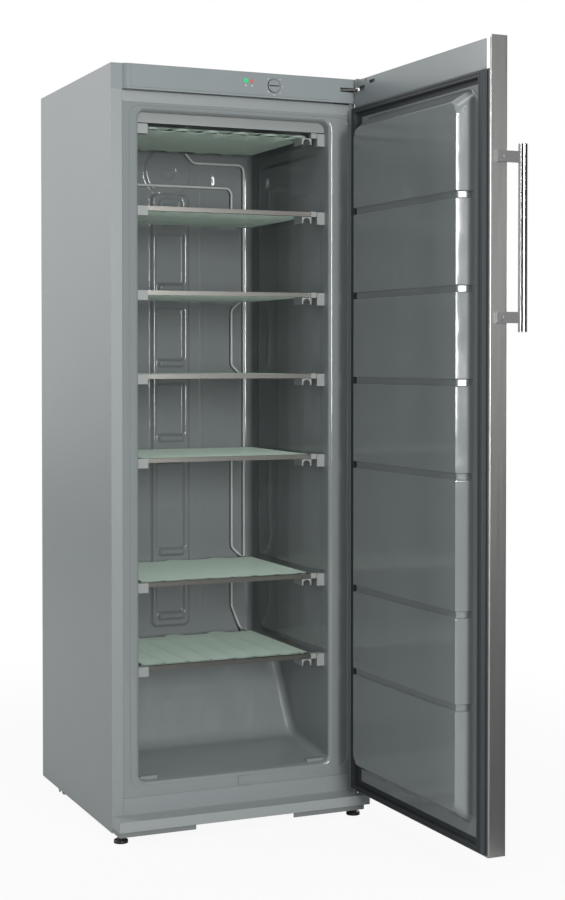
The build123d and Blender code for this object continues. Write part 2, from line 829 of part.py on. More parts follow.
def cut_hinge_slot():
    """The slot that the hinge plate passes through, at the door's hinge corner."""
    block((half_width - hinge_slot_length, door_inner - hinge_slot_depth, slot_low),
          (half_width + 1, door_inner + 1, slot_high), Mode.SUBTRACT)
    block((half_width - 60, door_outer - 1, door_top - 8),
          (half_width - 55, door_inner + 1, skin_top + 1), Mode.SUBTRACT)


with BuildPart() as door_skin:
    block((-half_width, door_outer, door_bottom), (half_width, door_inner, skin_top))
    fillet(door_skin.edges().filter_by(Axis.Z), radius=door_corner)
    block((-half_width + sheet, door_outer + sheet, door_bottom - 1),
          (half_width - sheet, door_inner - sheet, skin_top + 1), Mode.SUBTRACT)
    block((-half_width + skin_return, door_outer + sheet, door_bottom - 1),
          (half_width - skin_return, door_inner + 1, skin_top + 1), Mode.SUBTRACT)
    block((-half_width - 1, door_inner - 3, door_top), (half_width + 1, door_inner + 1, skin_top + 1),
          Mode.SUBTRACT)
    cut_hinge_slot()
finish(door_skin, "door_skin", swing)

with BuildPart() as door_top_cap:
    cap_bottom = door_top - top_cap_height
    block((-inner_side, door_outer + sheet, cap_bottom),
          (inner_side, door_inner - sheet, door_top - 0.5))
    block((-half_width + skin_return + 0.2, door_inner - sheet, cap_bottom),
          (half_width - skin_return - 0.2, door_inner, door_top - 0.5))
    block((-inner_side + 3, door_outer + sheet + 3, cap_bottom - 1),
          (half_width - hinge_slot_length - 60, door_inner - 3, door_top - 4), Mode.SUBTRACT)
    cut_hinge_slot()
    post(pivot_x, pivot_y, hinge_plate_z - 24, slot_low + 1, pin_radius + pin_clearance,
         Mode.SUBTRACT)
    block((half_width - 101, door_inner - 8, 1709), (half_width - 73, door_inner + 1, 1717),
          Mode.SUBTRACT)
finish(door_top_cap, "door_top_cap", swing)

with BuildPart() as door_bottom_cap:
    cap_top = door_bottom + bottom_cap_height
    block((-inner_side, door_outer + sheet, door_bottom + 0.5),
          (inner_side, door_inner - sheet, cap_top))
    block((-half_width + skin_return + 0.2, door_inner - sheet, door_bottom + 0.5),
          (half_width - skin_return - 0.2, door_inner, door_bottom + 4))
    post(pivot_x, pivot_y, door_bottom, door_bottom + 19, pin_radius + pin_clearance,
         Mode.SUBTRACT)
finish(door_bottom_cap, "door_bottom_cap", swing)

panel_low = door_bottom + 4.5
panel_high = door_top - top_cap_height - 0.3
plug_middle = (plug_bottom + plug_top) / 2


def door_wall(depth):
    """A plane across the closed door at a depth, centred on the plug."""
    return Plane(origin=(0, depth, plug_middle), x_dir=(1, 0, 0), z_dir=(0, 1, 0))


def add_hump(shrink):
    """The smooth raised middle of the inner panel, shrunk by an amount all round."""
    base_width = cabinet_width - 2 * plug_edge - 2 * shrink
    base_height = plug_top - plug_bottom - 2 * shrink
    foot_depth = door_inner - sheet if shrink else door_inner
    with BuildSketch(door_wall(foot_depth)) as plug_foot:
        RectangleRounded(base_width, base_height, plug_corner)
    with BuildSketch(door_wall(door_inner + plug_rise - shrink)) as plug_face:
        RectangleRounded(base_width - 2 * plug_slope, base_height - 2 * plug_end_slope,
                         plug_corner)
    loft([plug_foot.sketch, plug_face.sketch])


def add_plug(shrink):
    """The raised middle with its grooves, which run down both of its slopes."""
    add_hump(shrink)
    for height in groove_heights:
        reach = groove_width / 2 + shrink
        block((-half_width, door_inner, height - reach),
              (half_width, door_inner + plug_rise + 1, height + reach), Mode.SUBTRACT)
    add_hump(shrink + groove_depth)


with BuildPart() as plug_core:
    add_plug(plug_wall)

with BuildPart() as door_liner:
    add_plug(0)
    block((-half_width + skin_return + 0.2, door_inner - sheet, panel_low),
          (half_width - skin_return - 0.2, door_inner, panel_high))
    add(plug_core.part, mode=Mode.SUBTRACT)
finish(door_liner, "door_liner", swing)

with BuildPart() as door_foam:
    block((-inner_side, door_outer + sheet, door_bottom + bottom_cap_height),
          (inner_side, door_inner - sheet, door_top - top_cap_height))
    add(plug_core.part)
finish(door_foam, "door_foam", swing)

with BuildPart() as door_gasket:
    gasket_low = door_bottom + gasket_edge
    gasket_high = door_top - top_cap_height - 1
    gasket_face = front - gasket_front_gap
    outer_x = half_width - gasket_edge

    def ring(inset, width, end_width, y_low, y_high):
        """One rectangular frame of the gasket."""
        block((-outer_x + inset, y_low, gasket_low + inset),
              (outer_x - inset, y_high, gasket_high - inset))
        inner_x = outer_x - inset - width
        inner_z = inset + end_width
        block((-inner_x, y_low - 0.01, gasket_low + inner_z),
              (inner_x, y_high + 0.01, gasket_high - inner_z), Mode.SUBTRACT)

    ring(3, gasket_bulb, gasket_bulb, door_inner, gasket_face)
    with BuildPart(mode=Mode.PRIVATE) as gasket_foot:
        ring(0, gasket_width, gasket_end_width, door_inner, door_inner + gasket_base)
    add(gasket_foot.part)
finish(door_gasket, "door_gasket", swing)

bar_x = -half_width - bracket_thickness / 2
bar_y = door_outer - handle_standoff
with BuildPart() as handle_bar:
    post(bar_x, bar_y, handle_bottom, handle_bottom + handle_length, handle_radius)
    chamfer(handle_bar.edges(), length=0.8)
finish(handle_bar, "handle_bar", swing)

with BuildPart() as handle_brackets:
    for height in bracket_heights:
        block((-half_width - bracket_thickness, bar_y, height - bracket_height / 2),
              (-half_width, door_inner - bracket_inset, height + bracket_height / 2))
    post(bar_x, bar_y, handle_bottom, handle_bottom + handle_length, handle_radius,
         Mode.SUBTRACT)
    for height in bracket_heights:
        bar_along_x(-half_width - bracket_thickness - 1, -half_width + 1,
                    door_inner - handle_screw_inset, height, 2.2, Mode.SUBTRACT)
finish(handle_brackets, "handle_brackets", swing)

with BuildPart() as handle_screws:
    for height in bracket_heights:
        screw_y = door_inner - handle_screw_inset
        bar_along_x(-half_width - bracket_thickness - 1.5, -half_width - bracket_thickness,
                    screw_y, height, handle_screw_radius)
        bar_along_x(-half_width - bracket_thickness, -half_width, screw_y, height, 2)
finish(handle_screws, "handle_screws", swing)

# ---------------------------------------------------------------- cold machine
with BuildPart() as compressor_base:
    base_top = base_height + sheet
    block((-rail_inner, compressor_y - 85, base_height), (rail_inner, back_plane, base_top))
    block((-rail_inner, back_plane - sheet, base_height), (rail_inner, back_plane, 75))
    for side in (-1, 1):
        low, high = sorted((side * rail_inner, side * (rail_inner - sheet)))
        block((low, compressor_y - 85, base_height), (high, back_plane, bracket_top - 1))
    bar_along_y(gland_x, back_plane - 3, back_plane + 2, 55, 8, Mode.SUBTRACT)
finish(compressor_base, "compressor_base")

with BuildPart() as compressor:
    with BuildSketch(Plane.XY.offset(can_bottom + 2)) as can_outline:
        with Locations((compressor_x, compressor_y)):
            Ellipse(can_length / 2, can_width / 2)
    extrude(amount=can_height)
    fillet(compressor.edges(), radius=28)
    with BuildSketch(Plane.XY.offset(can_bottom + can_height * 0.55)):
        with Locations((compressor_x, compressor_y)):
            Ellipse(can_length / 2 + 3, can_width / 2 + 3)
    extrude(amount=5)
    block((compressor_x - 95, compressor_y - 60, can_bottom - 3),
          (compressor_x + 95, compressor_y + 60, can_bottom))
    block((compressor_x - 60, compressor_y - 30, can_bottom),
          (compressor_x + 60, compressor_y + 30, can_bottom + 12))
    block((compressor_x + can_length / 2 - 20, compressor_y - 22, can_bottom + 30),
          (compressor_x + can_length / 2 + 4, compressor_y + 22, can_bottom + 72))
    for corner_x in (-84, 84):
        for corner_y in (-50, 50):
            post(compressor_x + corner_x, compressor_y + corner_y, can_bottom - 4,
                 can_bottom + 1, 5, Mode.SUBTRACT)
finish(compressor, "compressor")

with BuildPart() as compressor_grommets:
    for corner_x in (-84, 84):
        for corner_y in (-50, 50):
            post(compressor_x + corner_x, compressor_y + corner_y, base_top, can_bottom - 3,
                 grommet_radius)
            post(compressor_x + corner_x, compressor_y + corner_y, can_bottom - 3,
                 can_bottom + 3, 5)
finish(compressor_grommets, "compressor_grommets")

with BuildPart() as relay_cover:
    block((compressor_x + can_length / 2 + 4, compressor_y - 24, can_bottom + 26),
          (compressor_x + can_length / 2 + 42, compressor_y + 24, can_bottom + 76))
    fillet(relay_cover.edges().filter_by(Axis.X), radius=5)
finish(relay_cover, "relay_cover")

with BuildPart() as condenser:
    with BuildLine(Plane.XZ) as passes:
        first_z = condenser_bottom + (condenser_runs - 1) * condenser_pitch
        bend = condenser_pitch / 2
        for run in range(condenser_runs):
            z = first_z - run * condenser_pitch
            side = -1 if run % 2 == 0 else 1
            Line((side * condenser_half, z), (-side * condenser_half, z))
            if run < condenser_runs - 1:
                ThreePointArc((-side * condenser_half, z),
                              (-side * (condenser_half + bend), z - bend),
                              (-side * condenser_half, z - condenser_pitch))
    route = passes.line.moved(Location((0, condenser_y, 0)))
    with BuildSketch(Plane(origin=route @ 0, z_dir=route % 0)):
        Circle(condenser_tube)
    sweep(path=route)
    wire_top = first_z + 20
    wire_bottom = condenser_bottom - 20
    for index in range(23):
        x = -condenser_half + 5 + index * (2 * condenser_half - 10) / 22
        low_y = condenser_y + condenser_tube + wire_seat
        block((x - 0.8, low_y, wire_bottom), (x + 0.8, low_y + 1.6, wire_top))
    for z in (wire_bottom, wire_top - 2):
        block((-condenser_half, low_y, z), (condenser_half, low_y + 1.6, z + 2))
finish(condenser, "condenser")

with BuildPart() as condenser_spacers:
    for side in (-1, 1):
        for z in (condenser_bottom + 90, first_z - 90):
            x = side * 150
            block((x - 8, back_plane + sheet, z - 10),
                  (x + 8, condenser_y - condenser_tube - 0.2, z + 10))
finish(condenser_spacers, "condenser_spacers")

with BuildPart() as discharge_line:
    pipe([(compressor_x - can_length / 2 - 3.4, compressor_y, can_bottom + 85),
          (riser_x, compressor_y, can_bottom + 85), (riser_x, condenser_y, can_bottom + 85),
          (riser_x, condenser_y, first_z), (-condenser_half - 0.1, condenser_y, first_z)],
         12, condenser_tube)
finish(discharge_line, "discharge_line")

drier_x = -235.0
drier_top = 260.0
with BuildPart() as filter_drier:
    pipe([(-condenser_half - 0.1, condenser_y, condenser_bottom),
          (drier_x, condenser_y, condenser_bottom), (drier_x, condenser_y, drier_top)],
         10, condenser_tube)
    post(drier_x, condenser_y, drier_top - drier_length, drier_top, drier_radius)
    pipe([(drier_x, condenser_y, drier_top - drier_length), (drier_x, condenser_y, 140),
          (drier_x, 215, 140), (drier_x + 40, 215, 140),
          (drier_x + 40, 215, shroud_height - sheet - seat_gap)], 12, condenser_tube)
finish(filter_drier, "filter_drier")

with BuildPart() as suction_line:
    pipe([(compressor_x - 20, compressor_y + can_width / 2 + 3.4, can_bottom + 85),
          (compressor_x - 20, compressor_y + can_width / 2 + 30, can_bottom + 85),
          (compressor_x - 20, compressor_y + can_width / 2 + 30,
           shroud_height - sheet - seat_gap)], 12, tube_radius)
finish(suction_line, "suction_line")

with BuildPart() as mains_inlet:
    bar_along_y(gland_x, back_plane - 8, back_plane - sheet - 0.2, 55, 11)
    bar_along_y(gland_x, back_plane - 2, back_plane + 1, 55, 7.8)
    bar_along_y(gland_x, back_plane, back_plane + 4, 55, 10)
    bar_along_y(gland_x, back_plane + 4, back_plane + 18, 55, 6)
    bar_along_y(gland_x, back_plane - 9, back_plane + 19, 55, 3.6, Mode.SUBTRACT)
finish(mains_inlet, "mains_inlet")
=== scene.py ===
"""Dresses the upright freezer: moulded liner and door panel, seal, marks, finishes, lights, camera.

Metres, in the frame's own directions: +X right, +Y back, +Z up from the floor.
"""
import json
import math

import bpy
import numpy as np
from mathutils import Matrix, Vector


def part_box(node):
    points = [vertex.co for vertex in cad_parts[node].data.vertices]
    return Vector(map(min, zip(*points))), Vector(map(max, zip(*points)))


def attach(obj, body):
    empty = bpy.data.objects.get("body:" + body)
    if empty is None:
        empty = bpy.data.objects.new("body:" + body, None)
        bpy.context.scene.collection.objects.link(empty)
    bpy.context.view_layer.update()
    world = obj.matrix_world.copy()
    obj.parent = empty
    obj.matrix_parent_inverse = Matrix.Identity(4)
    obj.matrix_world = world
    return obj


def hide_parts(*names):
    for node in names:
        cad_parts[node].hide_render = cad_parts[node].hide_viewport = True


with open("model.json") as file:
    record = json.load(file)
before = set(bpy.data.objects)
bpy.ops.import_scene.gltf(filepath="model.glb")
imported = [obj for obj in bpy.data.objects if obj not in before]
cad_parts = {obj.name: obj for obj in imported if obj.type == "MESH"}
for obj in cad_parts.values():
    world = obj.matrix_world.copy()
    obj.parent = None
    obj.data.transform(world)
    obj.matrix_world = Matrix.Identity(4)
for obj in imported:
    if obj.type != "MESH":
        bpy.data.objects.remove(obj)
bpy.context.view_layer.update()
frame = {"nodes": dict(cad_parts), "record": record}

mm = 0.001
white = (1.0, 1.0, 1.0, 1.0)

# Places that the frame gives
liner_low, liner_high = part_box("inner_liner")
fascia_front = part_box("fascia")[0][1]
knob_low, knob_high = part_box("thermostat_knob")
knob_x = (knob_low[0] + knob_high[0]) / 2
knob_z = (knob_low[2] + knob_high[2]) / 2
knob_radius = (knob_high[0] - knob_low[0]) / 2
plinth_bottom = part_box("plinth")[0][2]
lamp_boxes = [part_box("lamp_green"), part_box("lamp_red")]
door_joint = next(joint for joint in frame["record"]["behaviour"]["joints"]
                  if joint["name"] == "door_hinge")
pivot = Vector(door_joint["pos_m"])
open_angle = -math.radians(door_joint["range_deg"][0])
door_place = (Matrix.Translation(pivot) @ Matrix.Rotation(open_angle, 4, "Z")
              @ Matrix.Translation(-pivot))

# Fascia and plinth
# Widths of the gap round the knob and of the knob's coin slot, where shade is painted into the
# fascia's colour
knob_gap_inside = 0.2 * mm
knob_gap_outside = 1.2 * mm
coin_slot_half = 1.3 * mm
coin_slot_end = 2.4 * mm
# Height of the plinth's set-back lip, on which shade is painted
plinth_lip = 11.5 * mm
mark_ring = 21 * mm
mark_angles = (135, 225, 270, 315, 0, 45)
mark_radius = 1.1 * mm
lamp_mark_radius = 1.5 * mm
lamp_mark_drop = 10.5 * mm
mark_sunk = 0.15 * mm
mark_proud = 0.5 * mm
mark_sides = 20

# Cold space
cabinet_front = liner_low[1]
back_wall = liner_high[1] - 2 * mm
opening_half = 235 * mm
opening_bottom = 122 * mm
opening_top = 1629 * mm
mouth_radius = 9 * mm
corner_radius = 18 * mm
flange_corner = 2 * mm

# Step that draws the outline of the mouth's wide flare, and its profile: inset in millimetres,
# share of the step's depth
rim_left = -257 * mm
rim_right = 283.5 * mm
rim_bottom = opening_bottom - mouth_radius - 2 * mm
rim_top = 1640.5 * mm
rim_corner = 24 * mm
rim_depth = 1.2 * mm
rim_profile = [(-0.8, 0.0), (0.0, 0.1), (0.5, 0.5), (0.9, 1.0), (1.8, 1.0)]

# Floor of the cold space, slanted rear wall and ledge behind it
floor_end = cabinet_front + 205 * mm
floor_end_height = 150 * mm
floor_bend = 26 * mm
ledge_front = cabinet_front + 335 * mm
ledge_height = 358 * mm
ledge_bend = 30 * mm

# Two rests on the floor, beside the walls
rest_inner = 186 * mm
rest_outer = 229 * mm
rest_front = cabinet_front + 17 * mm
rest_back = cabinet_front + 33 * mm
rest_top = 131 * mm
rest_edge = 3 * mm

# Relief blocks, in millimetres: middle, half size, corner radius, rise (or depth) and edge ramp
column = ((11, 942), (50, 550), 14, 9, 5)
pocket_spans = [(428, 552), (592, 808), (882, 1010), (1073, 1203), (1266, 1390)]
pockets = [((10, (low + high) / 2), (37, (high - low) / 2), 4, -7.5, 3.6)
           for low, high in pocket_spans]
sills = [((11, low - 11), (33, 7), 3, 8, 4.5) for low, high in pocket_spans]
arch = ((11, 1468), (30, 14), 11, -6, 5)
arch_step = ((11, 1462), (16, 7), 4, 4, 4)
bare_plate = ((155, 1535), (26, 15), 2, 1.6, 3.4)
back_wall_blocks = [column, *pockets, *sills, arch, arch_step, bare_plate]
side_wall_blocks = [((-65, 970), (194, 589), 22, 3.2, 5), ((-128, 922), (132, 543), 20, 3.2, 5)]

# Dome above the column, the half round sunk into it, and the two lines beside the column
dome_middle = 5 * mm
dome_height = 1550 * mm
dome_radius = 61 * mm
dome_rise = 4.5 * mm
dome_ramp = 4 * mm
half_round_radius = 19 * mm
half_round_top = 6 * mm
half_round_depth = 3.2 * mm
half_round_ramp = 3.4 * mm
line_places = (96 * mm, -92 * mm)
line_half = 1.5 * mm
line_rise = 0.7 * mm
line_ramp = 5 * mm

# Where the side walls' fields begin at the front, and how far they take to reach full height
fade_front = -236 * mm
fade_length = 90 * mm

# Meshes of the liner: steps round a corner, pieces up a side and along the top or bottom
corner_turns = 8
ring_pieces = (60, 28)
least_radius = 0.05 * mm
wall_spacing = 6 * mm
back_wall_spacing = 3.2 * mm
back_wall_overlap = 0.2 * mm
side_field_proud = 0.15 * mm
side_field_low = 376 * mm
side_field_high = 1565 * mm
side_field_spacing = 4 * mm
side_field_spans = [(-236, -220, 2), (-220, -8, 12), (-8, 14, 2), (14, 118, 12), (118, 136, 2)]

# Door, in its closed place
door_half = 300 * mm
door_inner = -299 * mm
door_panel_half = 287 * mm
door_panel_low = 59.5 * mm
door_panel_high = 1664 * mm
door_panel_proud = 0.2 * mm
door_panel_coarse = 8 * mm
door_panel_fine = 1 * mm
plug_half = 239 * mm
plug_low = 108 * mm
plug_high = 1631.5 * mm
plug_rise = 38 * mm
plug_slope = 9 * mm
plug_end_slope = 29 * mm
plug_corner = 22 * mm
plug_softness = 0.05
plug_halvings = 18
groove_heights = [352, 545, 831, 1025, 1219, 1413]
groove_half = 7.2 * mm
groove_depth = 5.6 * mm
groove_ramp = 2 * mm
groove_split = 24

# Seal round the door, its section as inset from the door's edge and depth, in millimetres
seal_low = 57 * mm
seal_high = 1664.5 * mm
seal_end_share = 0.7
seal_rounding = 1.2 * mm
seal_split = 40
seal_corners = [(3, 0), (3, 2.6), (7.5, 3.2), (8, 10), (10, 13.4), (15, 13.6), (16, 12.4),
                (18, 12.4), (19, 13.6), (25, 13.4), (27.5, 10), (28, 4.2), (33, 3.2), (34, 2.2),
                (40, 2.2), (41, 0)]

# Sockets of a Mix node that mixes colours
mix_factor, mix_first, mix_second, mix_result = 0, 6, 7, 2


# ---------------------------------------------------------------- shader nodes
class Link:
    """A node's output that Python's operators work on, each adding a Math node."""

    def __init__(self, nodes, socket):
        self.nodes = nodes
        self.socket = socket

    def __add__(self, other):
        return self.nodes.maths("ADD", self, other)

    def __radd__(self, other):
        return self.nodes.maths("ADD", other, self)

    def __mul__(self, other):
        return self.nodes.maths("MULTIPLY", self, other)

    def __rmul__(self, other):
        return self.nodes.maths("MULTIPLY", other, self)


class Nodes:
    """A node tree, and the ways in which nodes are added to it."""

    def __init__(self, tree):
        self.tree = tree

    def join(self, target, value):
        """Link a value to a socket, or write it there."""
        if isinstance(value, Link):
            self.tree.links.new(value.socket, target)
        else:
            target.default_value = value

    def node(self, kind, settings, sockets, output=0):
        """A node with its settings, then its sockets' values or links."""
        node = self.tree.nodes.new(kind)
        for name, value in settings.items():
            setattr(node, name, value)
        for name, value in sockets.items():
            self.join(node.inputs[name], value)
        return Link(self, node.outputs[output])

    def maths(self, operation, first, second):
        """A Math node on two values."""
        return self.node("ShaderNodeMath", {"operation": operation}, {0: first, 1: second})

    def vector_maths(self, operation, *values, output="Vector"):
        """A Vector Math node on one or two vectors."""
        return self.node("ShaderNodeVectorMath", {"operation": operation},
                         dict(enumerate(values)), output)

    def ray(self, kind):
        """One for light paths of a kind, such as the camera's own rays."""
        return self.node("ShaderNodeLightPath", {}, {}, f"Is {kind} Ray")

    def within(self, value, low, high):
        """One between two numbers, nought elsewhere."""
        return self.maths("GREATER_THAN", value, low) * self.maths("LESS_THAN", value, high)

    def point(self):
        """The point on the piece, in metres."""
        return self.node("ShaderNodeTexCoord", {}, {}, "Object")

    def place(self, stretch=(1.0, 1.0, 1.0)):
        """The point on the piece, stretched along each direction."""
        return self.node("ShaderNodeMapping", {}, {"Vector": self.point(), "Scale": stretch},
                         "Vector")

    def height_of(self, point):
        """How high a point lies."""
        return self.node("ShaderNodeSeparateXYZ", {}, {0: point}, "Z")

    def noise(self, scale, detail=3.0, stretch=(1.0, 1.0, 1.0)):
        """Cloudy variation between nought and one."""
        return self.node("ShaderNodeTexNoise", {},
                         {"Vector": self.place(stretch), "Scale": scale, "Detail": detail})

    def cells(self, scale, output):
        """Variation in cells, as their colours or as the distance from their middles."""
        return self.node("ShaderNodeTexVoronoi", {"feature": "F1"},
                         {"Vector": self.place(), "Scale": scale}, output)


class Finish(Nodes):
    """One material: its surface shader and the nodes that vary it."""

    def __init__(self, name, colour, roughness, metallic=0.0, constants=None):
        self.material = bpy.data.materials.new(name)
        self.material.use_nodes = True
        super().__init__(self.material.node_tree)
        self.shader = self.tree.nodes["Principled BSDF"]
        self.colour = colour
        self.roughness = roughness
        self.base = (*colour, 1.0)
        self.put("Base Color", self.base)
        self.put("Roughness", roughness)
        self.put("Metallic", metallic)
        for label, number in (constants or {}).items():
            self.put(label, number)

    def put(self, label, value):
        """Set or link one socket of the surface shader."""
        self.join(self.shader.inputs[label], value)

    def shade(self, amount, factor):
        """Darken the base colour by an amount where the factor is one."""
        dark = (*(channel * (1.0 - amount) for channel in self.colour), 1.0)
        self.base = self.node("ShaderNodeMix", {"data_type": "RGBA"},
                              {mix_factor: factor, mix_first: self.base, mix_second: dark},
                              mix_result)
        self.put("Base Color", self.base)

    def vary_roughness(self, spread, factor):
        """Spread the roughness to both sides as the factor goes from nought to one."""
        self.put("Roughness", self.roughness - spread + 2 * spread * factor)

    def bump(self, height, distance):
        """Lift the surface's look by a distance where the height is one."""
        self.put("Normal", self.node("ShaderNodeBump", {},
                                     {"Height": height, "Distance": distance, "Strength": 1.0},
                                     "Normal"))


def painted_steel(name, colour, roughness=0.36):
    """Baked paint: a faint orange peel, and a sheen that varies slowly."""
    finish = Finish(name, colour, roughness)
    finish.shade(0.05, finish.noise(scale=3.0))
    finish.vary_roughness(0.04, finish.noise(scale=7.0))
    finish.bump(finish.noise(scale=420.0, detail=2.0), 0.06 * mm)
    return finish


def brushed_metal(name, colour, roughness, grain):
    """Metal with fine scratches drawn along one direction."""
    finish = Finish(name, colour, roughness, 1.0, {"Anisotropic": 0.4})
    scratches = finish.noise(scale=1.0, detail=4.0, stretch=grain)
    finish.shade(0.14, scratches)
    finish.vary_roughness(0.07, scratches)
    finish.bump(scratches, 0.05 * mm)
    return finish


def moulded_plastic(name, colour, roughness, waviness=0.0):
    """Glossy moulded plastic, whose surface waves a little where it was drawn."""
    finish = Finish(name, colour, roughness)
    finish.shade(0.06, finish.noise(scale=5.0))
    finish.vary_roughness(0.03, finish.noise(scale=30.0))
    if waviness:
        finish.bump(finish.noise(scale=14.0, detail=1.0), waviness)
    else:
        finish.bump(finish.noise(scale=900.0, detail=2.0), 0.03 * mm)
    return finish


def fascia_plastic_with_painted_shade(name, colour, roughness):
    """The fascia's plastic, with painted shade in the gap round the knob and in the knob's coin
    slot.
    """
    finish = moulded_plastic(name, colour, roughness)
    across = finish.vector_maths("SUBTRACT", finish.point(), (knob_x, 0.0, knob_z))
    flat = finish.vector_maths("MULTIPLY", across, (1.0, 0.0, 1.0))
    radius = finish.vector_maths("LENGTH", flat, output="Value")
    ring = finish.within(radius, knob_radius - knob_gap_inside, knob_radius + knob_gap_outside)
    slot = (finish.within(finish.height_of(across), -coin_slot_half, coin_slot_half)
            * finish.within(radius, -1.0, knob_radius - coin_slot_end))
    # Painted shade: the gap round the knob and the coin slot are darkened, as shade falls in these
    # recesses
    finish.shade(0.88, finish.maths("MAXIMUM", ring, slot))
    return finish


def plinth_plastic_with_painted_shade(name, colour, roughness):
    """The plinth's plastic, with painted shade on the set-back lip below its front face."""
    finish = moulded_plastic(name, colour, roughness)
    height = finish.height_of(finish.point())
    # Painted shade: the set-back lip under the front face is darkened, as it lies in that face's
    # shade
    finish.shade(0.4, finish.within(height, 0.0, plinth_bottom + plinth_lip))
    return finish


def zinc_plated(name):
    """Galvanised sheet: soft patches of brighter and duller zinc."""
    finish = Finish(name, (0.55, 0.56, 0.57), 0.42, 0.85)
    finish.shade(0.18, finish.cells(90.0, "Color"))
    finish.vary_roughness(0.08, finish.noise(scale=60.0))
    return finish


def rubber(name, colour):
    """Matt rubber with a fine grain."""
    finish = Finish(name, colour, 0.62)
    finish.shade(0.2, finish.noise(scale=40.0))
    finish.bump(finish.noise(scale=700.0, detail=2.0), 0.08 * mm)
    return finish


def insulating_foam(name):
    """Rigid insulating foam: closed cells under a thin skin."""
    finish = Finish(name, (0.72, 0.60, 0.33), 0.9)
    cells = finish.cells(350.0, "Distance")
    finish.shade(0.3, cells)
    finish.bump(cells, 0.6 * mm)
    return finish


def lens(name, colour, glow):
    """A small lit indicator."""
    finish = Finish(name, colour, 0.2, 0.0,
                    {"Emission Color": (*glow, 1.0), "Emission Strength": 0.4})
    finish.shade(0.15, finish.noise(scale=300.0))
    return finish


def copper_pipe(name):
    """Drawn copper, tarnished in patches."""
    finish = Finish(name, (0.72, 0.38, 0.25), 0.3, 1.0)
    finish.shade(0.3, finish.noise(scale=45.0))
    return finish


finishes = {
    "silver_steel": painted_steel("silver_painted_steel", (0.265, 0.290, 0.292)),
    "brushed_steel": brushed_metal("brushed_door_steel", (0.50, 0.50, 0.49), 0.34,
                                   (900.0, 900.0, 5.0)),
    "zinc_steel": zinc_plated("zinc_plated_steel"),
    "rail_steel": brushed_metal("shelf_rail_steel", (0.205, 0.20, 0.185), 0.32,
                                (5.0, 900.0, 900.0)),
    "silver_metal": brushed_metal("satin_bracket_metal", (0.62, 0.62, 0.62), 0.3,
                                  (700.0, 700.0, 700.0)),
    "chrome": brushed_metal("polished_bar_metal", (0.70, 0.70, 0.70), 0.16,
                            (1500.0, 1500.0, 3.0)),
    "grey_liner": moulded_plastic("grey_liner_plastic", (0.245, 0.268, 0.268), 0.1, 1.2 * mm),
    "silver_plastic": fascia_plastic_with_painted_shade("silver_fascia_plastic", (0.255, 0.285, 0.292), 0.24),
    "grey_plastic": plinth_plastic_with_painted_shade("grey_plinth_plastic", (0.32, 0.345, 0.345), 0.34),
    "light_plastic": moulded_plastic("light_grey_plastic", (0.30, 0.32, 0.31), 0.38),
    "white_plastic": moulded_plastic("white_control_plastic", (0.70, 0.70, 0.68), 0.45),
    "green_lens": lens("green_lamp_lens", (0.05, 0.45, 0.18), (0.03, 0.55, 0.22)),
    "red_lens": lens("red_lamp_lens", (0.55, 0.12, 0.12), (0.30, 0.05, 0.06)),
    "dark_gasket": rubber("dark_seal_rubber", (0.030, 0.036, 0.039)),
    "shelf_enamel": painted_steel("pale_shelf_enamel", (0.40, 0.50, 0.43), 0.22),
    "pipe_paint": painted_steel("pale_pipe_paint", (0.62, 0.65, 0.63), 0.25),
    "copper_pipe": copper_pipe("copper_pipe"),
    "black_paint": painted_steel("black_machine_paint", (0.018, 0.018, 0.020), 0.4),
    "black_rubber": rubber("black_rubber", (0.02, 0.02, 0.021)),
    "black_plastic": moulded_plastic("black_plastic", (0.02, 0.02, 0.021), 0.4),
    "foam": insulating_foam("insulating_foam"),
}
# Painted shade: a darkened copy of the hinge steel for the top hinge plate, standing in for the
# shade of the slot it comes out of
painted_shade_hinge = brushed_metal("dark_hinge_steel", (0.11, 0.11, 0.11), 0.42, (700.0, 700.0, 700.0))
white_mark = moulded_plastic("white_dial_mark", (0.75, 0.76, 0.76), 0.5)

# ---------------------------------------------------------------- finishes on the frame's pieces
# Widths in millimetres by which the edges of some pieces are rounded
soft_edges = {
    "side_panel_left": 0.8, "side_panel_right": 0.8, "top_panel": 0.5, "fascia": 1.2,
    "upper_front_rail": 1.5, "lower_front_rail": 1.5, "plinth": 1.2, "front_cover_strip": 1.0,
    "shelf_end_blocks": 1.2, "shelf_clips": 0.8, "door_top_cap": 0.8, "door_bottom_cap": 0.8,
    "handle_brackets": 1.0, "drain_plug": 0.8, "relay_cover": 1.0, "thermostat_body": 1.0,
    "top_hinge_plate": 0.6, "bottom_hinge_bracket": 0.6, "foot_bracket_left": 0.6,
    "shelf_rails": 0.4, "thermostat_knob": 0.4, "handle_screws": 0.4,
}
sharp_enough = math.radians(35)
for subpart in frame["record"]["subparts"]:
    name = subpart["node"]
    node = frame["nodes"][name]
    # The top hinge plate takes the hinge steel with painted shade in place of its zinc
    finish = painted_shade_hinge if name == "top_hinge_plate" else finishes[subpart["material_slot"]]
    node.data.materials.clear()
    node.data.materials.append(finish.material)
    if name in soft_edges:
        bevel = node.modifiers.new("soft_edges", "BEVEL")
        bevel.width = soft_edges[name] * mm
        bevel.segments = 3
        bevel.limit_method = "ANGLE"
        bevel.angle_limit = sharp_enough
        bevel.harden_normals = True


# ---------------------------------------------------------------- making meshes
def new_piece(name, points, faces, slot, body, place=None, smooth=True):
    """A mesh with its finish, riding on one of the frame's bodies."""
    mesh = bpy.data.meshes.new(name)
    mesh.from_pydata([tuple(point) for point in points], [], faces)
    mesh.update()
    mesh.polygons.foreach_set("use_smooth", [smooth] * len(mesh.polygons))
    mesh.materials.append(finishes[slot].material)
    piece = bpy.data.objects.new(name, mesh)
    bpy.context.scene.collection.objects.link(piece)
    if place is not None:
        mesh.transform(place)
    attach(piece, body)
    return piece


